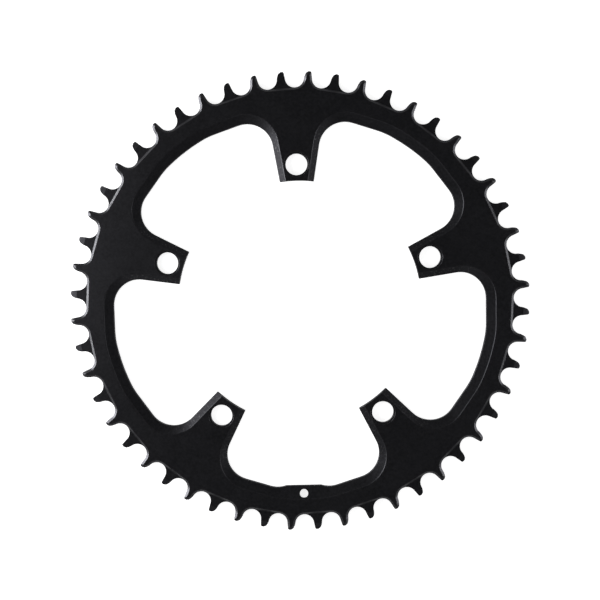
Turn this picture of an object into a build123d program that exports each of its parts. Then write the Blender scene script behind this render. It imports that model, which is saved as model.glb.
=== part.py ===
from build123d import *
from math import asin, atan2, cos, degrees, radians, sin, sqrt, tan
import os

# Driving dimensions, in millimetres and degrees. Z is the ring's axis and the back face lies on z = 0.
# The first arm points along +Y. Seen from the front, the ring turns clockwise when it drives the chain.
CHAIN_PITCH = 12.7
TOOTH_PAIRS = 26
THICKNESS = 4.0
NARROW_THICKNESS = 2.1

# A tooth's outline: the hollow for a chain roller, the steep driving flank and the curved trailing flank.
SEAT_RADIUS = 4.42
TOOTH_REACH = 3.12
DRIVE_LEAN = 7.3
TRAIL_LEAN = 5.0
TRAIL_CURVE = 7.0

# A tooth's tip: how far below it each flank ends, and the share of the width there that each corner takes.
TRAIL_CORNER = 0.7
DRIVE_CORNER = 0.45
TRAIL_SHARE = 0.41
DRIVE_SHARE = 0.175

# A wide tooth's front face lies inside the outline, by the width of the step down to the narrow teeth. It
# ends at a share of the height at which its own flanks would meet, and its corners leave a narrow top.
STEP_WIDTH = 1.08
CREST_SHARE = 0.72
CREST_CORNER = 0.3
CREST_TRAIL_SHARE = 0.5
CREST_DRIVE_SHARE = 0.25

# A narrow tooth's sides: two slopes below the tip, and the thickness where they meet and at the tip.
NARROW_SLOPE = 3.0
NARROW_FACET = 1.0
NARROW_KNEE = 1.1
NARROW_TIP = 0.3

# The arms and their bolts. The end wall is the metal between a bolt hole and the arm's end.
BOLT_CIRCLE = 130.0
ARM_COUNT = 5
BOLT_HOLE = 10.2
HOLE_BREAK = 0.6
ARM_WIDTH = 18.7
ARM_TAPER = 9.6
END_WALL = 2.5

# The inside of the rim: an arc in the middle of each opening, then a flat, then a round into the arm.
RIM_DEPTH = 11.75
RIM_BLEND = 35.0
RIM_FLAT_ANGLE = 17.4
RIM_FLAT_DROP = 1.05
CORNER = 12.2

# The bevel along the openings, with a short steep lip where it meets the front face.
BEVEL_DEPTH = 1.5
BEVEL_ON_RIM = 4.5
BEVEL_ON_ARM = 2.95
BEVEL_CORNER = 15.5
LIP_DEPTH = 0.5
LIP_WIDTH = 0.7

# The pin hole, the metal between it and the rim's edge, and the straight pad that the rim has there.
PIN_HOLE = 4.15
PIN_WALL = 1.325
PAD_HALF_WIDTH = 8.25
PAD_RISE = 1.9
PAD_HOLLOW = 12.0

# What follows from them.
TOOTH_COUNT = 2 * TOOTH_PAIRS
STEP = 360 / TOOTH_COUNT
PITCH_RADIUS = CHAIN_PITCH / (2 * sin(radians(STEP / 2)))
ROOT_RADIUS = PITCH_RADIUS - SEAT_RADIUS
TIP_RADIUS = PITCH_RADIUS + TOOTH_REACH
RIM_RADIUS = ROOT_RADIUS - RIM_DEPTH
PAD_RADIUS = RIM_RADIUS - PAD_RISE
PIN_RADIUS = PAD_RADIUS + PIN_WALL + PIN_HOLE / 2
ARM_END = BOLT_CIRCLE / 2 - BOLT_HOLE / 2 - END_WALL
MIDDLE = THICKNESS / 2
SECTOR = 360 / ARM_COUNT


def along(direction, length):
    """The point at a length from the origin, in a direction given in degrees."""
    return (length * cos(radians(direction)), length * sin(radians(direction)))


def shifted(point, direction, length):
    """The point moved by a length in a direction given in degrees."""
    dx, dy = along(direction, length)
    return (point[0] + dx, point[1] + dy)


def turned(point, angle):
    """The point turned about the axis."""
    x, y = point
    c, s = cos(radians(angle)), sin(radians(angle))
    return (c * x - s * y, s * x + c * y)


def arc(centre, radius, start, end):
    """Three points on an arc: its start, middle and end."""
    return [shifted(centre, d, radius) for d in (start, (start + end) / 2, end)]


def closed_wire(path, height, angle=0):
    """A closed outline from steps of two points, a line, or three, an arc."""
    edges = []
    for step in path:
        points = [(*turned(p, angle), height) for p in step]
        edges.append(Line(*points) if len(points) == 2 else ThreePointArc(*points))
    return Wire(edges)


def flanks_meet(back, curve, foot):
    """The height above the trailing flank's centre at which the flanks of a tooth would meet."""
    rise = tan(radians(DRIVE_LEAN))
    width = back[0] - foot[0] + (back[1] - foot[1]) * rise
    return (sqrt((1 + rise ** 2) * curve ** 2 - width ** 2) - width * rise) / (1 + rise ** 2)


def tooth(inset, wide):
    """One tooth along +Y, from hollow to hollow, clockwise. Inset gives the front face of a wide one."""
    seat = SEAT_RADIUS + inset
    curve = TRAIL_CURVE - inset
    # A narrow tooth owns each hollow up to its lowest point, a wide one as far as that same point.
    split = STEP if wide else 0
    left = along(90 + STEP / 2, PITCH_RADIUS)
    right = along(90 - STEP / 2, PITCH_RADIUS)
    back = shifted(left, -TRAIL_LEAN, seat + curve)
    foot = shifted(right, 180 + DRIVE_LEAN, seat)

    tip, trail_y, drive_y = TIP_RADIUS, TIP_RADIUS - TRAIL_CORNER, TIP_RADIUS - DRIVE_CORNER
    trail_share, drive_share = TRAIL_SHARE, DRIVE_SHARE
    if inset:
        tip = back[1] + CREST_SHARE * flanks_meet(back, curve, foot)
        trail_y = drive_y = tip - CREST_CORNER
        trail_share, drive_share = CREST_TRAIL_SHARE, CREST_DRIVE_SHARE

    trail_lean = degrees(asin((trail_y - back[1]) / curve))
    trail = shifted(back, 180 - trail_lean, curve)
    drive = (foot[0] - (drive_y - foot[1]) * tan(radians(DRIVE_LEAN)), drive_y)
    width = drive[0] - trail[0]
    trail_tip = (trail[0] + trail_share * width, tip)
    drive_tip = (drive[0] - drive_share * width, tip)
    return [
        arc(left, seat, split - 90, -TRAIL_LEAN),
        arc(back, curve, 180 - TRAIL_LEAN, 180 - trail_lean),
        [trail, trail_tip],
        [trail_tip, drive_tip],
        [drive_tip, drive],
        [drive, foot],
        arc(right, seat, 180 + DRIVE_LEAN, 270 - split),
    ]


def wide_angles():
    """How far each wide tooth is turned from +Y, clockwise round the ring."""
    return [-STEP / 2 - k * 2 * STEP for k in range(TOOTH_PAIRS)]


def wide_teeth(inset):
    """The outline with the wide teeth only, and a straight step where each narrow tooth stands."""
    path = []
    one = tooth(inset, wide=True)
    first, last = one[0][0], one[-1][-1]
    for angle in wide_angles():
        path += [[turned(p, angle) for p in step] for step in one]
        path.append([turned(last, angle), turned(first, angle - 2 * STEP)])
    return path


def tip_wedges(stations):
    """What is milled off a tooth's two sides. A station is a depth below the tip and the thickness there."""
    (first, thick), (before, before_thick), (last, last_thick) = stations[0], stations[-2], stations[-1]
    beyond = last_thick - (before_thick - last_thick) / (before - last)
    wedges = []
    for way in (1, -1):
        slope = [(TIP_RADIUS - depth, MIDDLE + way * size / 2) for depth, size in stations]
        outside = [
            (TIP_RADIUS + 1, MIDDLE + way * beyond / 2),
            (TIP_RADIUS + 1, MIDDLE + way * (thick / 2 + 1)),
            (TIP_RADIUS - first, MIDDLE + way * (thick / 2 + 1)),
        ]
        section = make_face(Polyline(*slope, *outside, close=True))
        wedges.append(extrude(Plane.YZ * section, CHAIN_PITCH / 2, both=True))
    return wedges


def wide_body():
    """The disc with its wide teeth. Both faces step in all round, down to the level of the narrow teeth."""
    edge = (THICKNESS - NARROW_THICKNESS) / 2
    base, crest = wide_teeth(0), wide_teeth(STEP_WIDTH)
    levels = [(crest, 0), (base, edge), (base, THICKNESS - edge), (crest, THICKNESS)]
    return Solid.make_loft([closed_wire(path, height) for path, height in levels], ruled=True)


def narrow_tooth():
    """One narrow tooth along +Y, with a root that reaches into the disc."""
    path = tooth(0, wide=False)
    first, last = path[0][0], path[-1][-1]
    root = first[1] - STEP_WIDTH
    path += [[last, (last[0], root)], [(last[0], root), (first[0], root)], [(first[0], root), first]]
    outline = Face(closed_wire(path, (THICKNESS - NARROW_THICKNESS) / 2))
    blank = extrude(outline, NARROW_THICKNESS, dir=(0, 0, 1))
    slopes = [(NARROW_SLOPE, NARROW_THICKNESS), (NARROW_FACET, NARROW_KNEE), (0, NARROW_TIP)]
    return blank - tip_wedges(slopes)


def toothed_disc():
    """Wide and narrow teeth by turns, all the way round."""
    narrow = narrow_tooth()
    return wide_body() + [Rot(0, 0, angle + STEP) * narrow for angle in wide_angles()]


def arm_side(offset):
    """The arm side to the right of an opening: the direction it faces and its distance from the axis."""
    facing = ARM_TAPER - SECTOR / 2
    corner = along(90 - SECTOR / 2, BOLT_CIRCLE / 2)
    point = shifted(corner, 180 - SECTOR / 2, ARM_WIDTH / 2)
    nx, ny = along(facing, 1)
    return facing, point[0] * nx + point[1] * ny + offset


def rounded_corner(first, second, radius):
    """The centre of a round that touches two lines, each given by its facing and its distance."""
    (a, da), (b, db) = first, second
    ax, ay = along(a, 1)
    bx, by = along(b, 1)
    scale = ax * by - ay * bx
    to_first, to_second = (da - radius) / scale, (db - radius) / scale
    return (to_first * by - to_second * ay, to_second * ax - to_first * bx)


def mirrored(path):
    """The same steps on the other side of the Y axis, in the opposite order."""
    return [[(-x, y) for x, y in reversed(step)] for step in reversed(path)]


def opening(arm, rim, corner, pad=False):
    """The outline between two arms, for an opening whose middle lies along +Y. Arm and rim widen it."""
    side = arm_side(arm)
    flat = (90 - RIM_FLAT_ANGLE, RIM_RADIUS - RIM_FLAT_DROP + rim)
    round_centre = rounded_corner(side, flat, corner)
    flat_end = shifted(round_centre, flat[0], corner)
    if pad:
        top, flat_start = pad_edge(flat)
    else:
        top, flat_start = rim_edge(flat, rim)
    side_end = shifted(round_centre, side[0], corner)
    foot = shifted(along(*side), side[0] + 90, 0.8 * ARM_END)
    right = top[1:] + [
        [flat_start, flat_end],
        arc(round_centre, corner, flat[0], side[0]),
        [side_end, foot],
    ]
    return mirrored(right) + top[:1] + right + [[foot, (-foot[0], foot[1])]]


def rim_edge(flat, rim):
    """The arc about the axis in the middle of an opening, and the blend from it to the flat."""
    radius = RIM_RADIUS + rim
    blend = RIM_BLEND + rim
    away = sqrt((radius - blend) ** 2 - (flat[1] - blend) ** 2)
    centre = shifted(along(flat[0], flat[1] - blend), flat[0] + 90, away)
    direction = degrees(atan2(centre[1], centre[0]))
    middle = arc((0, 0), radius, 180 - direction, direction)
    return [middle, arc(centre, blend, direction, flat[0])], shifted(centre, flat[0], blend)


def pad_edge(flat):
    """The straight pad beside the pin hole, and the hollow from its end to the flat."""
    end = (PAD_HALF_WIDTH, PAD_RADIUS)
    start = along(flat[0], flat[1] - PAD_HOLLOW)
    tx, ty = along(flat[0] - 90, 1)
    bx, by = start[0] - end[0], start[1] - end[1]
    run = bx * tx + by * ty
    centre = shifted(start, flat[0] - 90, sqrt(run ** 2 - bx ** 2 - by ** 2 + PAD_HOLLOW ** 2) - run)
    direction = degrees(atan2(end[1] - centre[1], end[0] - centre[0]))
    hollow = arc(centre, PAD_HOLLOW, direction, flat[0])
    return [[(-end[0], end[1]), end], hollow], hollow[-1]


def openings():
    """Everything inside the ring: a round middle and the space between each pair of arms."""
    tools = [Pos(0, 0, MIDDLE) * Cylinder(ARM_END, THICKNESS + 2)]
    for k in range(ARM_COUNT):
        angle = SECTOR / 2 + k * SECTOR
        with_pad = abs(angle - 180) < 1
        outline = closed_wire(opening(0, 0, CORNER, with_pad), -1, angle)
        tools.append(extrude(Face(outline), THICKNESS + 2, dir=(0, 0, 1)))
    return tools


def bevels():
    """The bevel along each opening: a narrow steep lip at the front face, then a long gentle slope."""
    crest = (BEVEL_ON_ARM, BEVEL_ON_RIM, BEVEL_CORNER)
    knee = (BEVEL_ON_ARM - LIP_WIDTH, BEVEL_ON_RIM - LIP_WIDTH, BEVEL_CORNER - LIP_WIDTH)
    edge = (0, 0, CORNER)
    # Both slopes run on past the part, so that the cut leaves no skin.
    past = 1.55
    above = [2 * c - k for c, k in zip(crest, knee)]
    below = [k + past * (e - k) for k, e in zip(knee, edge)]
    floor = THICKNESS - LIP_DEPTH - past * (BEVEL_DEPTH - LIP_DEPTH)
    levels = [(above, THICKNESS + LIP_DEPTH), (knee, THICKNESS - LIP_DEPTH), (below, floor)]
    tools = []
    for k in range(ARM_COUNT):
        angle = SECTOR / 2 + k * SECTOR
        rings = [closed_wire(opening(*sizes), height, angle) for sizes, height in levels]
        tools.append(Solid.make_loft(rings, ruled=True))
    return tools


def holes():
    """The bolt holes, broken at the front, and the plain pin hole opposite the first arm."""
    radius = BOLT_HOLE / 2
    section = Polyline(
        (0, -1),
        (radius, -1),
        (radius, THICKNESS - HOLE_BREAK),
        (radius + HOLE_BREAK + 1, THICKNESS + 1),
        (0, THICKNESS + 1),
        close=True,
    )
    drill = revolve(Plane.XZ * make_face(section), Axis.Z)
    tools = []
    for k in range(ARM_COUNT):
        x, y = along(90 + k * SECTOR, BOLT_CIRCLE / 2)
        tools.append(Pos(x, y, 0) * drill)
    pin = Cylinder(PIN_HOLE / 2, THICKNESS + 2)
    tools.append(Pos(0, -PIN_RADIUS, MIDDLE) * pin)
    return tools


ring = toothed_disc()
ring = ring - openings()
ring = ring - bevels()
ring = ring - holes()

os.makedirs("parts", exist_ok=True)
export_step(ring, "parts/chainring.step")
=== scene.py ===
# %% [markdown]
# # A narrow-wide chainring
# A chainring is the toothed ring that a bicycle's cranks turn. This one is milled from one aluminium
# plate and anodised black. Its teeth are thick and thin by turns, because a chain's outer and inner links
# are wide and narrow by turns, so each tooth fills its own link and the chain stays on.
#
# The solid model is the fixed frame. Everything below is made in the same place, in metres, and stands
# for it.

# %% Load the frame
from math import asin, atan2, cos, degrees, dist, radians, sin, sqrt, tan

import bpy
from mathutils import Matrix, Vector


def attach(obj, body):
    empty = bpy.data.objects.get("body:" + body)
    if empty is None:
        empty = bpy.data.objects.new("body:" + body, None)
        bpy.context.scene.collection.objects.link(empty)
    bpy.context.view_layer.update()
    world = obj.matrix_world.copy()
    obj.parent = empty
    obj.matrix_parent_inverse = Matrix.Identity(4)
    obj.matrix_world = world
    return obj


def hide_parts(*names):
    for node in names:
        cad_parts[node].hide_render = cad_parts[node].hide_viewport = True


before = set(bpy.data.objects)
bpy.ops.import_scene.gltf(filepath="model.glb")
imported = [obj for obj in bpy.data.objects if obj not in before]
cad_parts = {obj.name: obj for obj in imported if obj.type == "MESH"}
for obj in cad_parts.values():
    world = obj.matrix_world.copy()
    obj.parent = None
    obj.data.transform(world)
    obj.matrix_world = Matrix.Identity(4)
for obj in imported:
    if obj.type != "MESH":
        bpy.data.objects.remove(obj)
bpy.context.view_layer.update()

# %% [markdown]
# ## Sizes
# The ring's sizes are in millimetres and degrees. The axis is Z, the back face lies at zero and the first
# arm points along +Y. They could be read off the solid, but a ring is drawn from a few numbers, and then
# it is clear what follows from what. Half an inch of chain per tooth fixes the pitch circle, on which the
# rollers lie, and the rest is measured from it. Teeth and arms are made apart and meet on a seam inside
# the hollows.

# %% Sizes
PAIRS = 26
ARMS = 5
CHAIN_PITCH = 12.7
THICK = 4.0
THIN = 2.1
SEAT = 4.42
TOOTH_REACH = 3.12
SEAM_DEPTH = 3.75

TOOTH_ANGLE = 180 / PAIRS
ARM_ANGLE = 360 / ARMS
PITCH_RADIUS = CHAIN_PITCH / (2 * sin(radians(TOOTH_ANGLE / 2)))
TIP = PITCH_RADIUS + TOOTH_REACH
ROOT = PITCH_RADIUS - SEAT
SEAM = ROOT - SEAM_DEPTH
print(f"pitch radius {PITCH_RADIUS:.2f} mm, tip radius {TIP:.2f} mm, {2 * PAIRS} teeth")

# %% [markdown]
# ## Lines and arcs
# A milled outline is made of straight cuts and arcs. Blender's curves could draw them, but here two
# outlines often have to be joined point by point, as a tooth's edge and the foot of its slope are. So
# each step of an outline is a small function of a share from 0 to 1, and two outlines with the same steps
# match by themselves.

# %% Lines and arcs
def along(direction, length):
    """The point at a length from the axis, in a direction in degrees."""
    return (length * cos(radians(direction)), length * sin(radians(direction)))


def shifted(point, direction, length):
    """The point moved by a length in a direction."""
    dx, dy = along(direction, length)
    return (point[0] + dx, point[1] + dy)


def turned(point, angle):
    """The point turned about the axis."""
    c, s = cos(radians(angle)), sin(radians(angle))
    return (c * point[0] - s * point[1], s * point[0] + c * point[1])


def line(start, end):
    """A straight step of an outline."""
    return lambda share: tuple(a + (b - a) * share for a, b in zip(start, end))


def arc(centre, radius, start, end):
    """A round step of an outline, between two directions from its centre."""
    return lambda share: shifted(centre, start + (end - start) * share, radius)


print("a quarter turn of", along(0, 1), "is", [round(v, 3) for v in turned(along(0, 1), 90)])

# %% [markdown]
# ## Points on an outline
# An outline is a list of steps, and a number t names a point on it. Its whole part picks the step and the
# rest is the share of that step. Even shares would do for plain outlines, but where a slope begins the
# mesh needs a corner exactly there, so a search by halves finds the t at which a height or a line is
# crossed.

# %% Points on an outline
HALVINGS = 50
NEAR = 0.02


def at(outline, t):
    """The point of an outline at t."""
    step = min(int(t), len(outline) - 1)
    return outline[step](t - step)


def shares(counts):
    """The values of t that divide each step of an outline into so many pieces."""
    return [k + i / n for k, n in enumerate(counts) for i in range(n)] + [len(counts)]


def crossing(function, low, high):
    """The t between two values where a function changes sign."""
    rising = function(high) > 0
    for _ in range(HALVINGS):
        middle = (low + high) / 2
        low, high = (low, middle) if (function(middle) > 0) == rising else (middle, high)
    return (low + high) / 2


def with_crossings(values, functions):
    """The same t values, with one more wherever a function changes sign between two of them."""
    found = [crossing(f, a, b) for f in functions for a, b in zip(values, values[1:]) if f(a) * f(b) < 0]
    # A value close to a new one would leave a sliver of a face, unless a step of the outline ends there.
    kept = [t for t in values if all(abs(t - c) > NEAR for c in found) or t == int(t)]
    return sorted(set(kept + found))


print("two steps in 3 and 1 pieces have corners at", [round(t, 2) for t in shares((3, 1))])

# %% [markdown]
# ## A box for corners and faces
# Blender's mesh tools could cut these shapes out of a disc, but cuts leave untidy faces that shade badly
# on a flat black surface. A mesh is easiest to follow when each face is written as its corners in order.
# This small class stores every corner once, drops corners that fall together, and turns flat faces up or
# down as asked.

# %% Shell
class Shell:
    """Corners in millimetres, and faces as lists of corner numbers."""
    DECIMALS = 4

    def __init__(self):
        self.corners, self.places, self.faces = [], {}, []

    def corner(self, point):
        """The number of a corner. One that lies on an earlier corner gets the same number."""
        key = tuple(round(v, self.DECIMALS) for v in point)
        if key not in self.places:
            self.places[key] = len(self.corners)
            self.corners.append(point)
        return self.places[key]

    def face(self, points):
        """A face from its corners, counter-clockwise as seen from outside."""
        ids = [self.corner(p) for p in points]
        ids = [a for a, b in zip(ids, ids[1:] + ids[:1]) if a != b]
        if len(set(ids)) > 2:
            self.faces.append(ids)

    def flat(self, points, up=True):
        """A face seen from above or below, whichever way round its corners come."""
        area = sum(a[0] * b[1] - b[0] * a[1] for a, b in zip(points, points[1:] + points[:1]))
        self.face(points if (area > 0) == up else points[::-1])

    def strip(self, low, high):
        """Faces between two rows of corners, which look to the left of the way the rows run."""
        for a, b, c, d in zip(low, high, high[1:], low[1:]):
            self.face([a, b, c, d])

    def mirror(self, image):
        """Adds every face again at its mirror image, turned so that it still looks outwards."""
        for ids in list(self.faces):
            self.face([image(self.corners[i]) for i in reversed(ids)])

    def mesh(self, name):
        """A Blender mesh of all the faces, in metres."""
        made = bpy.data.meshes.new(name)
        made.from_pydata([[v / 1000 for v in c] for c in self.corners], [], self.faces)
        made.validate()
        print(name, len(made.vertices), "corners", len(made.polygons), "faces")
        return made


trial = Shell()
trial.flat([(0, 0, 0), (0, 1, 0), (1, 0, 0)])
print("a trial face, turned to look up, runs", trial.corners)

# %% [markdown]
# ## The outline of a tooth
# Chain rollers sit in the round hollows. The driving flank, on the right, is nearly straight and pushes
# the rollers. The trailing flank is a gentle curve that lets the chain lift off. The inset outline is the
# edge of a wide tooth's front face, where its sloping step begins. It ends below the tip, short of the
# point where its own flanks would meet, so that a small slope is left on the tip between the two sides of
# the step. An offset of the finished outline would fold over at the tip, so the inset is built from the
# same centres instead.

# %% Tooth outline
DRIVE_LEAN = 7.3
TRAIL_LEAN = 5.0
TRAIL_CURVE = 7.0
TRAIL_CORNER = 0.7
DRIVE_CORNER = 0.45
TRAIL_SHARE = 0.41
DRIVE_SHARE = 0.175
CREST_SHARE = 0.72
CREST_CORNER = 0.3
CREST_TRAIL_SHARE = 0.5
CREST_DRIVE_SHARE = 0.25


def flanks_meet(back, curve, foot):
    """The height above the trailing flank's centre at which the flanks of a tooth would meet."""
    rise = tan(radians(DRIVE_LEAN))
    width = back[0] - foot[0] + (back[1] - foot[1]) * rise
    return (sqrt((1 + rise ** 2) * curve ** 2 - width ** 2) - width * rise) / (1 + rise ** 2)


def tooth(inset, wide):
    """One tooth along +Y, clockwise from hollow to hollow. Inset gives a wide tooth's front face."""
    seat, curve = SEAT + inset, TRAIL_CURVE - inset
    # A narrow tooth owns each hollow up to its lowest point, a wide one as far as that same point.
    split = TOOTH_ANGLE if wide else 0
    left, right = along(90 + TOOTH_ANGLE / 2, PITCH_RADIUS), along(90 - TOOTH_ANGLE / 2, PITCH_RADIUS)
    back = shifted(left, -TRAIL_LEAN, seat + curve)
    foot = shifted(right, 180 + DRIVE_LEAN, seat)

    tip, trail_y, drive_y = TIP, TIP - TRAIL_CORNER, TIP - DRIVE_CORNER
    trail_share, drive_share = TRAIL_SHARE, DRIVE_SHARE
    if inset:
        tip = back[1] + CREST_SHARE * flanks_meet(back, curve, foot)
        trail_y = drive_y = tip - CREST_CORNER
        trail_share, drive_share = CREST_TRAIL_SHARE, CREST_DRIVE_SHARE

    end_lean = degrees(asin((trail_y - back[1]) / curve))
    trail = shifted(back, 180 - end_lean, curve)
    drive = (foot[0] - (drive_y - foot[1]) * tan(radians(DRIVE_LEAN)), drive_y)
    width = drive[0] - trail[0]
    trail_tip = (trail[0] + trail_share * width, tip)
    drive_tip = (drive[0] - drive_share * width, tip)
    return [
        arc(left, seat, split - 90, -TRAIL_LEAN),
        arc(back, curve, 180 - TRAIL_LEAN, 180 - end_lean),
        line(trail, trail_tip),
        line(trail_tip, drive_tip),
        line(drive_tip, drive),
        line(drive, foot),
        arc(right, seat, 180 + DRIVE_LEAN, 270 - split),
    ]


print("tooth is", round(at(tooth(0, True), 4)[0] - at(tooth(0, True), 3)[0], 2), "mm wide at its tip")

# %% [markdown]
# ## The sides of the teeth
# A wide tooth keeps the plate's thickness and has a step all round it, down to the level of the narrow
# teeth. A narrow tooth is milled to two slopes on each side, so that it enters the chain easily. A Bevel
# modifier would put the same slope on every edge, so both are written as rows of corners. A wide tooth
# has one row at the edge of its front and one at the foot of its step, with the same t values in both. A
# narrow tooth has a single row, whose height follows its slopes.

# %% Rows of corners on the teeth
TOOTH_PIECES = (12, 7, 1, 1, 1, 2, 12)
STEP_WIDTH = 1.08
STEP_DEPTH = (THICK - THIN) / 2
# Each station of a narrow tooth is a depth below the tip and the thickness there.
NARROW_SLOPES = [(3.0, THIN), (1.0, 1.1), (0.0, 0.3)]
HAIR = 1e-6


def wide_rows():
    """The edge of a wide tooth's front face and the foot of the step round it."""
    values = shares(TOOTH_PIECES)
    front, outline = tooth(STEP_WIDTH, True), tooth(0, True)
    return [(*at(front, t), THICK) for t in values], [(*at(outline, t), THICK - STEP_DEPTH) for t in values]


def narrow_height(y):
    """The height of a narrow tooth's front at y along its axis."""
    for (deep, thick), (less, thin) in zip(NARROW_SLOPES, NARROW_SLOPES[1:]):
        if TIP - deep <= y <= TIP - less + HAIR:
            share = (y - TIP + deep) / (deep - less)
            return THICK / 2 + (thick + (thin - thick) * share) / 2
    return THICK / 2 + THIN / 2


def narrow_row():
    """A narrow tooth's outline at the height of its front, and where its slopes begin and end."""
    base = tooth(0, False)
    folds = [TIP - deep for deep, _ in NARROW_SLOPES[:-1]]
    values = with_crossings(shares(TOOTH_PIECES), [lambda t, y=y: at(base, t)[1] - y for y in folds])
    row = [(*at(base, t), narrow_height(at(base, t)[1])) for t in values]
    ends = []
    for fold in folds:
        above = [i for i, point in enumerate(row) if point[1] > fold - HAIR]
        ends.append((above[0], above[-1]))
    return row, ends


step_slope = degrees(atan2(STEP_DEPTH, STEP_WIDTH))
print(f"wide teeth step down at {step_slope:.0f} degrees, a narrow one has {len(narrow_row()[0])} corners")

# %% [markdown]
# ## One pair of teeth
# A wide and a narrow tooth make one cell, which comes 26 times. Modelling every tooth would only repeat
# it. The cell reaches from the seam out to the tips. The seam has 130 pieces, 5 for each pair and 26 for
# each sector, so both kinds of cell meet corner to corner. Front and back are alike, so only the front is
# written and then mirrored, and the walls join the two.

# %% A pair of teeth
SEAM_PIECES = PAIRS * ARMS


def seam_row(pieces):
    """Corners on the seam at the front, clockwise from +Y."""
    return [(*along(90 - 360 * i / SEAM_PIECES, SEAM), THICK) for i in range(pieces + 1)]


def round_the_axis(row, angle):
    """A row of corners turned about the axis."""
    return [(*turned(p[:2], angle), p[2]) for p in row]


def tooth_pair():
    """A wide tooth and the narrow one after it, clockwise from +Y."""
    shell = Shell()
    top, foot = (round_the_axis(row, -TOOTH_ANGLE / 2) for row in wide_rows())
    narrow, ((slope_start, slope_end), (tip_start, tip_end)) = narrow_row()
    narrow = round_the_axis(narrow, -1.5 * TOOTH_ANGLE)
    next_top = round_the_axis(top[:1], -2 * TOOTH_ANGLE)
    # The wide tooth's front, its step, and the straight step beside the narrow tooth.
    shell.flat(top + next_top + seam_row(ARMS)[::-1])
    shell.strip(foot, top)
    shell.strip([narrow[0], narrow[-1]], [top[-1]] + next_top)
    # The narrow tooth's front, from its foot up: a level part, a gentle slope and a steeper one at the tip.
    shell.flat(narrow[:slope_start + 1] + narrow[slope_end:])
    shell.flat(narrow[slope_start:tip_start + 1] + narrow[tip_end:slope_end + 1])
    shell.flat(narrow[tip_start:tip_end + 1])
    shell.mirror(lambda p: (p[0], p[1], THICK - p[2]))
    for row in (foot, narrow):
        shell.strip([(x, y, THICK - z) for x, y, z in row], row)
    return shell.mesh("tooth_pair")


pair_mesh = tooth_pair()

# %% [markdown]
# ## The opening between two arms
# Five arms carry the bolts. Between them the rim's inner edge is an arc, a flat and a round into each
# arm. At the bottom it has a straight pad for a pin hole instead of the arc. The outline could be traced
# as points, but then it could not be made larger. Written as arcs and lines, the same function also gives
# the bevel's lines.

# %% Sizes of the arms and the rim
BOLT_CIRCLE = 130.0
BOLT_HOLE = 10.2
END_WALL = 2.5
ARM_WIDTH = 18.7
ARM_TAPER = 9.6
RIM_DEPTH = 11.75
RIM_BLEND = 35.0
FLAT_ANGLE = 17.4
FLAT_DROP = 1.05
CORNER = 12.2
PAD_RISE = 1.9
PAD_HALF = 8.25
PAD_HOLLOW = 12.0

ARM_END = BOLT_CIRCLE / 2 - BOLT_HOLE / 2 - END_WALL
RIM = ROOT - RIM_DEPTH
PAD = RIM - PAD_RISE
print(f"rim radius {RIM:.2f} mm, arms end at {ARM_END:.1f} mm from the axis")

# %% Opening outline
def arm_side(offset):
    """The arm side to the right of an opening: the direction it faces and its distance from the axis."""
    facing = ARM_TAPER - ARM_ANGLE / 2
    point = shifted(along(90 - ARM_ANGLE / 2, BOLT_CIRCLE / 2), 180 - ARM_ANGLE / 2, ARM_WIDTH / 2)
    normal = along(facing, 1)
    return facing, point[0] * normal[0] + point[1] * normal[1] + offset


def round_between(first, second, radius):
    """The centre of a round that touches two lines, each given by its facing and its distance."""
    (a, da), (b, db) = first, second
    (ax, ay), (bx, by) = along(a, 1), along(b, 1)
    scale = ax * by - ay * bx
    p, q = (da - radius) / scale, (db - radius) / scale
    return (p * by - q * ay, q * ax - p * bx)


def rim_edge(flat, rim):
    """The arc about the axis in the middle of an opening, and the blend from it to the flat."""
    radius, blend = RIM + rim, RIM_BLEND + rim
    away = sqrt((radius - blend) ** 2 - (flat[1] - blend) ** 2)
    centre = shifted(along(flat[0], flat[1] - blend), flat[0] + 90, away)
    direction = degrees(atan2(centre[1], centre[0]))
    steps = [arc((0, 0), radius, 90, direction), arc(centre, blend, direction, flat[0])]
    return steps, shifted(centre, flat[0], blend)


def pad_edge(flat):
    """The straight pad beside the pin hole, and the hollow from its end to the flat."""
    end = (PAD_HALF, PAD)
    start = along(flat[0], flat[1] - PAD_HOLLOW)
    tx, ty = along(flat[0] - 90, 1)
    bx, by = start[0] - end[0], start[1] - end[1]
    run = bx * tx + by * ty
    centre = shifted(start, flat[0] - 90, sqrt(run ** 2 - bx ** 2 - by ** 2 + PAD_HOLLOW ** 2) - run)
    direction = degrees(atan2(end[1] - centre[1], end[0] - centre[0]))
    hollow = arc(centre, PAD_HOLLOW, direction, flat[0])
    return [line((0, PAD), end), hollow], hollow(1)


def opening(arm, rim, corner, pad=False):
    """Right half of an opening along +Y, from its middle to the arm's end. Arm and rim make it larger."""
    side = arm_side(arm)
    flat = (90 - FLAT_ANGLE, RIM - FLAT_DROP + rim)
    centre = round_between(side, flat, corner)
    edge_steps, flat_start = pad_edge(flat) if pad else rim_edge(flat, rim)
    foot = shifted(along(*side), side[0] + 90, sqrt(ARM_END ** 2 - side[1] ** 2))
    return edge_steps + [
        line(flat_start, shifted(centre, flat[0], corner)),
        arc(centre, corner, flat[0], side[0]),
        line(shifted(centre, side[0], corner), foot),
    ]


print("an opening has", len(opening(0, 0, CORNER)), "steps from its middle to the arm's end")

# %% [markdown]
# ## The bevel
# A bevel follows each opening: a narrow steep lip at the front face, then a long gentle slope. A Bevel
# modifier makes one width all round, but this one is wider on the rim than on the arms. So it runs
# between three outlines: the crest on the front, the foot of the lip, and the opening's edge. Where the
# pad reaches further in, its edge simply cuts the same slope lower down.

# %% Bevel
BEVEL_DEEP = 1.42
BEVEL_ON_RIM = 4.5
BEVEL_ON_ARM = 2.95
BEVEL_CORNER = 15.5
LIP_DEEP = 0.25
LIP_WIDE = 0.35
SECTOR_PIECES = (7, 6, 2, 16, 3)
PAD_PIECES = (5, 8, 2, 16, 3)
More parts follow.
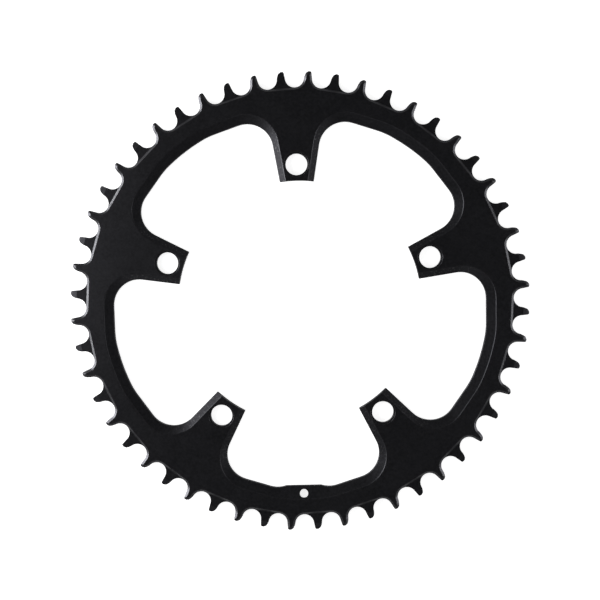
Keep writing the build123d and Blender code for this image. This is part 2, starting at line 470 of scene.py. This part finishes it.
# The first three steps of an opening lie on the rim, and the last two on the arm.
RIM_STEPS = 3

edge_line = opening(0, 0, CORNER)
lip_line = opening(BEVEL_ON_ARM - LIP_WIDE, BEVEL_ON_RIM - LIP_WIDE, BEVEL_CORNER - LIP_WIDE)
crest_line = opening(BEVEL_ON_ARM, BEVEL_ON_RIM, BEVEL_CORNER)
pad_line = opening(0, 0, CORNER, pad=True)


def slope_height(point):
    """The bevel's t value and height at a point of the rim, from the line across the slope through it."""
    def across(t):
        (ax, ay), (bx, by) = at(lip_line, t), at(edge_line, t)
        return (bx - ax) * (point[1] - ay) - (by - ay) * (point[0] - ax)

    t = 0 if abs(point[0]) < HAIR else crossing(across, 0, RIM_STEPS)
    upper, lower = at(lip_line, t), at(edge_line, t)
    share = dist(point, upper) / dist(lower, upper)
    return t, THICK - LIP_DEEP - (BEVEL_DEEP - LIP_DEEP) * share


def bevel_rows(pad):
    """Crest, foot of the lip and inner edge, corner by corner from the opening's middle to the arm's end."""
    rows = []
    for t in shares(PAD_PIECES if pad else SECTOR_PIECES):
        edge, height = at(edge_line, t), THICK - BEVEL_DEEP
        if pad:
            edge = at(pad_line, t)
            t, height = slope_height(edge) if t < RIM_STEPS else (t, height)
        rows.append(((*at(crest_line, t), THICK), (*at(lip_line, t), THICK - LIP_DEEP), (*edge, height)))
    return [list(row) for row in zip(*rows)]


print("bevel is", round(at(crest_line, 0)[1] - at(edge_line, 0)[1], 2), "mm wide on the rim")

# %% [markdown]
# ## Holes and arm ends
# Each bolt hole has a shallow sink round its mouth. The pin hole's mouth lies on the bevel, and the hole
# widens towards the back. A Boolean could drill both, but it would break the flat faces round them into
# slivers, so the rims are rows of corners that the faces start from. Half a sector holds half of each
# hole.

# %% Holes and arm ends
BOLT_SINK = 11.7
SINK_DEEP = 0.6
BOLT_PIECES = 24
PIN_HOLE = 3.85
PIN_BACK = 5.2
PIN_WALL = 1.65
PIN = PAD + PIN_WALL + PIN_HOLE / 2
PIN_PIECES = 20
END_PIECES = 4
ARM_AXIS = 90 - ARM_ANGLE / 2


def half_bolt_hole(across, height):
    """Half a bolt hole on the right arm, on the opening's side, from its outer to its inner end."""
    middle = along(ARM_AXIS, BOLT_CIRCLE / 2)
    points = [shifted(middle, ARM_AXIS + 180 * i / BOLT_PIECES, across / 2) for i in range(BOLT_PIECES + 1)]
    return [(*p, height) for p in points]


def half_pin_hole(across):
    """The right half of the pin hole's rim, from its outer to its inner end."""
    return [shifted((0, PIN), 90 - 180 * i / PIN_PIECES, across / 2) for i in range(PIN_PIECES + 1)]


def arm_end(corner):
    """The right arm's end on the front, from its middle to a corner of the bevel."""
    turn = degrees(atan2(corner[1], corner[0])) - ARM_AXIS
    return [(*along(ARM_AXIS + turn * i / END_PIECES, ARM_END), THICK) for i in range(END_PIECES + 1)]


print(f"bolt holes {BOLT_HOLE} mm, pin hole {PIN_HOLE} mm at {PIN:.2f} mm from the axis")

# %% [markdown]
# ## One sector
# A sector reaches from one arm's middle to the next and mirrors itself, so only its right half is
# written. Four of the five are alike. The fifth has the pad and the pin hole.

# %% One sector
# The slope beside the pin hole is one face as far as this corner of the bevel.
PIN_SPAN = 3


def dropped(row):
    """A row of corners on the back face."""
    return [(x, y, 0.0) for x, y, *_ in row]


def pin_slope(shell, lip, edge):
    """The slope round the pin hole, the strips beside it and the wall of the hole."""
    mouth = [(*p, slope_height(p)[1]) for p in half_pin_hole(PIN_HOLE)]
    shell.flat(lip[:PIN_SPAN + 1] + edge[:PIN_SPAN + 1][::-1] + mouth[::-1])
    shell.strip(lip[PIN_SPAN:], edge[PIN_SPAN:])
    shell.strip(mouth, dropped(half_pin_hole(PIN_BACK)))


def sector(name, pad=False):
    """One sector as a mesh."""
    shell = Shell()
    crest, lip, edge = bevel_rows(pad)
    outer = seam_row(PAIRS // 2)
    sink = half_bolt_hole(BOLT_SINK, THICK)
    seat = half_bolt_hole(BOLT_SINK, THICK - SINK_DEEP)
    wall = half_bolt_hole(BOLT_HOLE, THICK - SINK_DEEP)
    end = arm_end(crest[-1])
    end_wall = end + [lip[-1], edge[-1]]
    back = dropped(outer + wall + end_wall + edge[::-1][1:])

    shell.flat(outer + sink + end + crest[::-1][1:])
    shell.strip(crest, lip)
    shell.strip(edge, dropped(edge))
    shell.strip(seat, sink)
    shell.strip(wall, seat)
    shell.strip(dropped(wall), wall)
    shell.strip(dropped(end_wall), end_wall)
    if pad:
        pin_slope(shell, lip, edge)
        back += dropped(half_pin_hole(PIN_BACK))[::-1]
    else:
        shell.strip(lip, edge)
    shell.flat(back, up=False)
    shell.mirror(lambda p: (-p[0], p[1], p[2]))
    return shell.mesh(name)


open_mesh = sector("open_sector")
pin_mesh = sector("pin_sector", pad=True)

# %% [markdown]
# ## Copies round the axis
# Teeth and sectors repeat, which is what Geometry Nodes are for. An Array modifier could turn copies too,
# but only of one shape at a time. This small tree turns any number of copies of a shape about the axis,
# and its inputs have names, so that another tree can use it as a tool.

# %% Turned copies
def new_tree(name, inputs):
    """A node tree with named inputs, and the sockets to start from and to end in."""
    tree = bpy.data.node_groups.new(name, "GeometryNodeTree")
    for label, kind, value in inputs:
        socket = tree.interface.new_socket(label, in_out="INPUT", socket_type="NodeSocket" + kind)
        if value is not None:
            socket.default_value = value
    tree.interface.new_socket("Geometry", in_out="OUTPUT", socket_type="NodeSocketGeometry")
    return tree, tree.nodes.new("NodeGroupInput").outputs, tree.nodes.new("NodeGroupOutput").inputs


def add(tree, kind, inputs, **settings):
    """A node with its settings first, then a value or a link for each socket. Gives its first output."""
    node = tree.nodes.new(kind)
    for name, value in settings.items():
        setattr(node, name, value)
    for name, value in inputs.items():
        if isinstance(value, bpy.types.NodeSocket):
            tree.links.new(value, node.inputs[name])
        else:
            node.inputs[name].default_value = value
    return next(s for s in node.outputs if s.enabled)


copies, given, result = new_tree("turned copies", [
    ("Shape", "Geometry", None),
    ("Count", "Int", 1),
    ("First angle", "Float", 0.0),
    ("Turn", "Float", 0.0),
])
points = add(copies, "GeometryNodeMeshLine", {"Count": given["Count"], "Offset": (0, 0, 0)})
index = add(copies, "GeometryNodeInputIndex", {})
turn = add(copies, "ShaderNodeMath", {0: index, 1: given["Turn"], 2: given["First angle"]},
           operation="MULTIPLY_ADD")
spin = add(copies, "ShaderNodeCombineXYZ", {"Z": turn})
placed = add(copies, "GeometryNodeInstanceOnPoints",
             {"Points": points, "Instance": given["Shape"], "Rotation": spin})
copies.links.new(placed, result["Geometry"])
print("tree", copies.name, "has", len(copies.nodes), "nodes")

# %% [markdown]
# ## The ring as a tree
# The ring is 26 pairs of teeth, four open sectors and the one with the pin. A second tree uses the first
# three times, joins the results, welds the cells where they meet and marks the sharp edges. Joining
# meshes by hand would do it once. In the tree the counts, the weld and the sharp angle stay numbers on
# the modifier.

# %% The ring's tree
ring_tree, given, result = new_tree("chainring", [
    ("Tooth pair", "Object", None),
    ("Open sector", "Object", None),
    ("Pin sector", "Object", None),
    ("Pairs", "Int", PAIRS),
    ("Arms", "Int", ARMS),
    ("Weld", "Float", 2e-6),
    ("Sharp angle", "Float", radians(10)),
    ("Finish", "Material", None),
])


def repeated(label, count, first, turn):
    """Copies of a given object, as many and as far apart as the sockets or numbers say."""
    shape = add(ring_tree, "GeometryNodeObjectInfo", {"Object": given[label]}).node.outputs["Geometry"]
    return add(ring_tree, "GeometryNodeGroup", {
        "Shape": shape, "Count": count, "First angle": first, "Turn": turn}, node_tree=copies)


full = radians(360)
pair_turn = add(ring_tree, "ShaderNodeMath", {0: -full, 1: given["Pairs"]}, operation="DIVIDE")
arm_turn = add(ring_tree, "ShaderNodeMath", {0: full, 1: given["Arms"]}, operation="DIVIDE")
plain = add(ring_tree, "ShaderNodeMath", {0: given["Arms"], 1: 1}, operation="SUBTRACT")
beside = add(ring_tree, "ShaderNodeMath", {0: arm_turn, 1: full / 2}, operation="ADD")
join = ring_tree.nodes.new("GeometryNodeJoinGeometry")
for part in (
    repeated("Pin sector", 1, full / 2, 0.0),
    repeated("Open sector", plain, beside, arm_turn),
    repeated("Tooth pair", given["Pairs"], 0.0, pair_turn),
):
    ring_tree.links.new(part, join.inputs["Geometry"])
real = add(ring_tree, "GeometryNodeRealizeInstances", {"Geometry": join.outputs["Geometry"]})
welded = add(ring_tree, "GeometryNodeMergeByDistance", {"Geometry": real, "Distance": given["Weld"]})
smooth = add(ring_tree, "GeometryNodeSetShadeSmooth", {"Geometry": welded, "Shade Smooth": True})
angle = add(ring_tree, "GeometryNodeInputMeshEdgeAngle", {})
sharp = add(ring_tree, "FunctionNodeCompare", {0: angle, 1: given["Sharp angle"]}, operation="GREATER_THAN")
creased = add(ring_tree, "GeometryNodeSetShadeSmooth",
              {"Geometry": smooth, "Selection": sharp, "Shade Smooth": False}, domain="EDGE")
finished = add(ring_tree, "GeometryNodeSetMaterial", {"Geometry": creased, "Material": given["Finish"]})
ring_tree.links.new(finished, result["Geometry"])
print("tree", ring_tree.name, "has", len(ring_tree.nodes), "nodes")

# %% [markdown]
# ## Shader sums
# Finishes and the table below need sums and products on shader sockets. Each is a Math node, and adding
# those by hand hides the formula. So a small class wraps a socket, and an operator on it adds the node.

# %% Sockets that add up
class Wire:
    """An output socket. Operators on it add Math nodes, and node() adds any other node."""

    def __init__(self, tree, socket):
        self.tree, self.socket = tree, socket

    def node(self, kind, settings, inputs, out=0):
        """Any node, with its settings first and then a value or a link for each socket."""
        made = self.tree.nodes.new(kind)
        for name, value in settings.items():
            if name == "stops":
                for stop, (position, colour) in zip(made.color_ramp.elements, value):
                    stop.position, stop.color = position, colour
            else:
                setattr(made, name, value)
        for name, value in inputs.items():
            if isinstance(value, Wire):
                self.tree.links.new(value.socket, made.inputs[name])
            else:
                made.inputs[name].default_value = value
        return Wire(self.tree, made.outputs[out])

    def math(self, operation, first, second):
        """A Math node on two sockets or numbers."""
        return self.node("ShaderNodeMath", {"operation": operation}, {0: first, 1: second})

    def __add__(self, other):
        return self.math("ADD", self, other)

    def __mul__(self, other):
        return self.math("MULTIPLY", self, other)

    def __sub__(self, other):
        return self.math("SUBTRACT", self, other)

    def __rsub__(self, other):
        return self.math("SUBTRACT", other, self)

    __radd__, __rmul__ = __add__, __mul__


print("operators that add a Math node: +, - and *")

# %% [markdown]
# ## Black anodising
# The plate is milled, blasted with fine beads and dyed black in the anodising bath. Close up it is a matt
# black with a fine grain that scatters light a little, cloudy patches of more and less dye, and a thin
# hard gloss. The upright walls are rougher, and the milled slopes of the arms keep tool marks that glint.
# A picture of the surface would need an unwrapped mesh and blur close up. Noise in the object's own
# coordinates needs neither, and the surface's own direction tells walls and slopes from faces.

# %% Helpers for a finish
def new_material(name):
    """A material with nothing in it yet, its object coordinates and its output."""
    material = bpy.data.materials.new(name)
    material.use_nodes = True
    tree = material.node_tree
    tree.nodes.clear()
    place = tree.nodes.new("ShaderNodeTexCoord")
    return material, Wire(tree, place.outputs["Object"]), tree.nodes.new("ShaderNodeOutputMaterial")


def noise(spot, scale, detail, roughness):
    """Noise in the object's own coordinates, with about so many spots to the metre."""
    return spot.node("ShaderNodeTexNoise", {}, {
        "Vector": spot, "Scale": scale, "Detail": detail, "Roughness": roughness})


def lying(spot):
    """How flat a surface lies: 1 on the two faces, 0 on upright walls."""
    normal = Wire(spot.tree, spot.socket.node.outputs["Normal"])
    height = spot.node("ShaderNodeSeparateXYZ", {}, {"Vector": normal}, out="Z")
    return spot.node("ShaderNodeMath", {"operation": "ABSOLUTE"}, {0: height})


def ramp(value, start, end):
    """0 before the start, 1 beyond the end and a straight run between, upwards or downwards."""
    return value.node("ShaderNodeMapRange", {}, {"Value": value, "From Min": start, "From Max": end})


anodised, spot, output = new_material("black_anodised_aluminium")
print(anodised.name, "starts with", len(anodised.node_tree.nodes), "nodes")

# %% Black anodised aluminium
DARKEST = (0.0017, 0.0017, 0.0019, 1)
PALEST = (0.0074, 0.0074, 0.0083, 1)
ROUGH = 0.34

grain = noise(spot, scale=2600.0, detail=2.0, roughness=0.6)
fleck = noise(spot, scale=1100.0, detail=1.0, roughness=0.5)
cloud = noise(spot, scale=75.0, detail=3.0, roughness=0.55)
spark = noise(spot, scale=1200.0, detail=1.0, roughness=0.5)
flat = lying(spot)
# A surface counts as a wall from a lean of 60 degrees, and fully from 78 degrees.
wall = ramp(flat, 0.5, 0.2)
# The arms' slopes lean by 24 degrees. One ramp leaves out the rim's gentler slope, and the other leaves out
# the lip and the steps of the teeth, which are steeper.
arm_slope = ramp(flat, 0.955, 0.93) * ramp(flat, 0.83, 0.87)
glint = ramp(spark, 0.56, 0.76) * arm_slope
# The three weights add up to one.
dye = grain * 0.25 + fleck * 0.6 + cloud * 0.15
colour = dye.node("ShaderNodeValToRGB", {"stops": [(0.33, DARKEST), (0.67, PALEST)]}, {"Fac": dye})
roughness = ROUGH + (cloud - 0.5) * 0.08 + (fleck - 0.5) * 0.10 + wall * 0.45
bump = spot.node("ShaderNodeBump", {}, {
    "Strength": 0.06, "Distance": 0.0002, "Height": grain * 0.5 + fleck * 0.5})
skin = spot.node("ShaderNodeBsdfPrincipled", {}, {
    "Base Color": colour,
    "Roughness": roughness,
    "Metallic": 0.0,
    "Coat Weight": glint,
    "Coat Roughness": ROUGH,
    "Specular IOR Level": 0.27,
    "Specular Tint": (0.9, 0.9, 1.0, 1),
    "Normal": bump,
})
anodised.node_tree.links.new(skin.socket, output.inputs["Surface"])
print(anodised.name, "has", len(anodised.node_tree.nodes), "nodes")

# %% [markdown]
# ## Build the ring
# The three cells become objects only for as long as the tree needs them. Milled edges are never razor
# sharp, so a Bevel modifier after the tree takes a tenth of a millimetre off each one, which is what
# catches the light. It could be modelled, but the modifier finds every edge by its angle. The evaluated
# result becomes one plain mesh, and the helpers go.

# %% Build the ring
BROKEN_EDGE = 0.00012
BROKEN_ANGLE = radians(28)


def new_object(name, data):
    """An object in the scene, at the origin."""
    made = bpy.data.objects.new(name, data)
    bpy.context.scene.collection.objects.link(made)
    return made


helpers = {
    "Tooth pair": new_object("Tooth_pair", pair_mesh),
    "Open sector": new_object("Open_sector", open_mesh),
    "Pin sector": new_object("Pin_sector", pin_mesh),
}
blank = new_object("ring_blank", bpy.data.meshes.new("ring_blank"))
nodes = blank.modifiers.new("chainring", "NODES")
nodes.node_group = ring_tree
sockets = {s.name: s.identifier for s in ring_tree.interface.items_tree if s.in_out == "INPUT"}
for label, thing in {**helpers, "Finish": anodised}.items():
    nodes[sockets[label]] = thing
edges = blank.modifiers.new("broken edges", "BEVEL")
edges.width = BROKEN_EDGE
edges.segments = 2
edges.limit_method = "ANGLE"
edges.angle_limit = BROKEN_ANGLE
edges.use_clamp_overlap = False
edges.harden_normals = True
depsgraph = bpy.context.evaluated_depsgraph_get()
ring_mesh = bpy.data.meshes.new_from_object(blank.evaluated_get(depsgraph), depsgraph=depsgraph)
ring_mesh.name = "ring"
for helper in (blank, *helpers.values()):
    bpy.data.objects.remove(helper)
ring = new_object("ring", ring_mesh)
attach(ring, "root")
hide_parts("chainring")
ring_mesh.calc_loop_triangles()
print("ring has", len(ring_mesh.vertices), "corners and", len(ring_mesh.loop_triangles), "triangles")

# %% [markdown]
# ## Camera
# The photograph looks almost straight at the front, from about half a metre. A camera set by eye would
# never line up with 52 teeth, but circles are exact rulers: the bolt circle and the pitch circle give the
# distance and the tilt, and the tooth at the top gives the roll.

# %% Camera
TILT_X, TILT_Y, ROLL = 2.895, -0.615, 1.337
# Where the camera stands from the aim, along its own right, up and backward directions, in metres.
FROM_AIM = Vector((0.000183, 0.001287, 0.550))
AIM = Vector((0, 0, 0.0025))
# The lens comes from the focal length and the width of the picture in pixels.
FOCAL_PIXELS = 1166.3
PICTURE_PIXELS = 600
SENSOR = 36.0

camera = new_object("camera", bpy.data.cameras.new("camera"))
tilt = Matrix.Rotation(radians(TILT_X), 3, "X") @ Matrix.Rotation(radians(TILT_Y), 3, "Y")
tilt = tilt @ Matrix.Rotation(radians(ROLL), 3, "Z")
stand = tilt.transposed() @ FROM_AIM + AIM
camera.matrix_world = Matrix.Translation(stand) @ tilt.transposed().to_4x4()
camera.data.sensor_width = SENSOR
camera.data.lens = SENSOR * FOCAL_PIXELS / PICTURE_PIXELS
bpy.context.scene.camera = camera
print("camera at", [round(v, 3) for v in stand], "lens", round(camera.data.lens, 1))

# %% [markdown]
# ## Table
# The ring lies on a white table. A flat plane would end in a dark horizon when the camera comes low, so
# the table is a round sweep that curves up far out. To the camera and in reflections it also glows, a
# little less the higher it rises. So it shows white with no stronger lamps on the ring, and the ring's
# shade on it stays.

# %% Table
# Each row of the sweep is a radius and a height in metres.
SWEEP = [(1.0, 0.0), (5.0, 0.0), (6.5, 0.1), (7.4, 0.5), (7.85, 1.2), (8.0, 2.4)]
ROUND = 64
TABLE_GAP = 0.0004

corners = []
for radius, height in SWEEP:
    corners += [(*along(360 * i / ROUND, radius), height - TABLE_GAP) for i in range(ROUND)]
floor_faces = [list(range(ROUND))]
for row in range(len(SWEEP) - 1):
    for i in range(ROUND):
        a, b = row * ROUND + i, row * ROUND + (i + 1) % ROUND
        floor_faces.append([b, a, a + ROUND, b + ROUND])
floor_mesh = bpy.data.meshes.new("floor")
floor_mesh.from_pydata(corners, [], floor_faces)
floor_mesh.polygons.foreach_set("use_smooth", [True] * len(floor_faces))
floor = new_object("floor", floor_mesh)
print("table is", 2 * SWEEP[-1][0], "m wide and rises", SWEEP[-1][1], "m at its edge")

# %% White of the table
TABLE_MATT = (0.75, 0.75, 0.75, 1)
GLOW_LOW = (0.82, 0.82, 0.82, 1)
GLOW_HIGH = (0.45, 0.45, 0.45, 1)

table_white, spot, output = new_material("white_table")
paths = table_white.node_tree.nodes.new("ShaderNodeLightPath")
seen = Wire(table_white.node_tree, paths.outputs["Is Camera Ray"])
seen = seen + Wire(table_white.node_tree, paths.outputs["Is Glossy Ray"])
seen = seen + Wire(table_white.node_tree, paths.outputs["Is Transmission Ray"])
matt = spot.node("ShaderNodeBsdfDiffuse", {}, {"Color": TABLE_MATT})
rise = spot.node("ShaderNodeSeparateXYZ", {}, {"Vector": spot}, out="Z")
tone = spot.node("ShaderNodeValToRGB", {"stops": [(0.0, GLOW_LOW), (0.8, GLOW_HIGH)]}, {"Fac": rise})
glow = spot.node("ShaderNodeEmission", {}, {"Color": tone, "Strength": 1.0})
both = spot.node("ShaderNodeAddShader", {}, {0: matt, 1: glow})
mixed = spot.node("ShaderNodeMixShader", {}, {0: seen, 1: matt, 2: both})
table_white.node_tree.links.new(mixed.socket, output.inputs["Surface"])
floor_mesh.materials.append(table_white)
print(table_white.name, "has", len(table_white.node_tree.nodes), "nodes")

# %% [markdown]
# ## Light
# On a black part light shows mostly as reflections, and one big lamp above would turn the whole front
# grey. So two long strips stand low on the left and the right. The flat front mirrors them away from the
# camera, and only the milled slopes and steps catch them. Small cards above them give the front its soft
# sheen, brightest on the left. Three weak boxes stand higher up, and the room is dim.

# %% Lamps and room
def lamp(name, place, size, power):
    """A soft lamp aimed at the middle of the ring."""
    data = bpy.data.lights.new(name, "AREA")
    data.shape = "RECTANGLE"
    data.size, data.size_y = size
    data.energy = power
    made = new_object(name, data)
    made.location = place
    made.rotation_mode = "QUATERNION"
    made.rotation_quaternion = (-made.location).to_track_quat("-Z", "Y")
    print("lamp", name, power, "W at", place)


lamp("left_strip", (-0.784, 0.138, 0.094), (0.70, 0.14), 14.6)
lamp("left_low", (-0.46, 0.06, 0.25), (0.30, 0.10), 0.65)
lamp("left_card", (-0.36, 0.03, 0.36), (0.25, 0.15), 0.43)
lamp("left_top", (-0.25, 0.03, 0.34), (0.25, 0.12), 0.155)
lamp("right_strip", (0.795, 0.014, 0.094), (0.56, 0.14), 3.2)
lamp("right_low", (0.46, 0.0, 0.25), (0.30, 0.10), 0.2)
lamp("right_box", (0.48, -0.18, 0.62), (0.60, 0.40), 0.45)
lamp("near_box", (-0.08, -0.56, 0.58), (0.60, 0.35), 0.45)
lamp("far_box", (0.27, 0.46, 0.60), (0.60, 0.35), 0.22)
world = bpy.data.worlds.new("dim_room")
world.use_nodes = True
world.node_tree.nodes["Background"].inputs["Color"].default_value = (0.12, 0.12, 0.12, 1)
world.node_tree.nodes["Background"].inputs["Strength"].default_value = 1.0
bpy.context.scene.world = world
bpy.context.scene.view_settings.view_transform = "Standard"
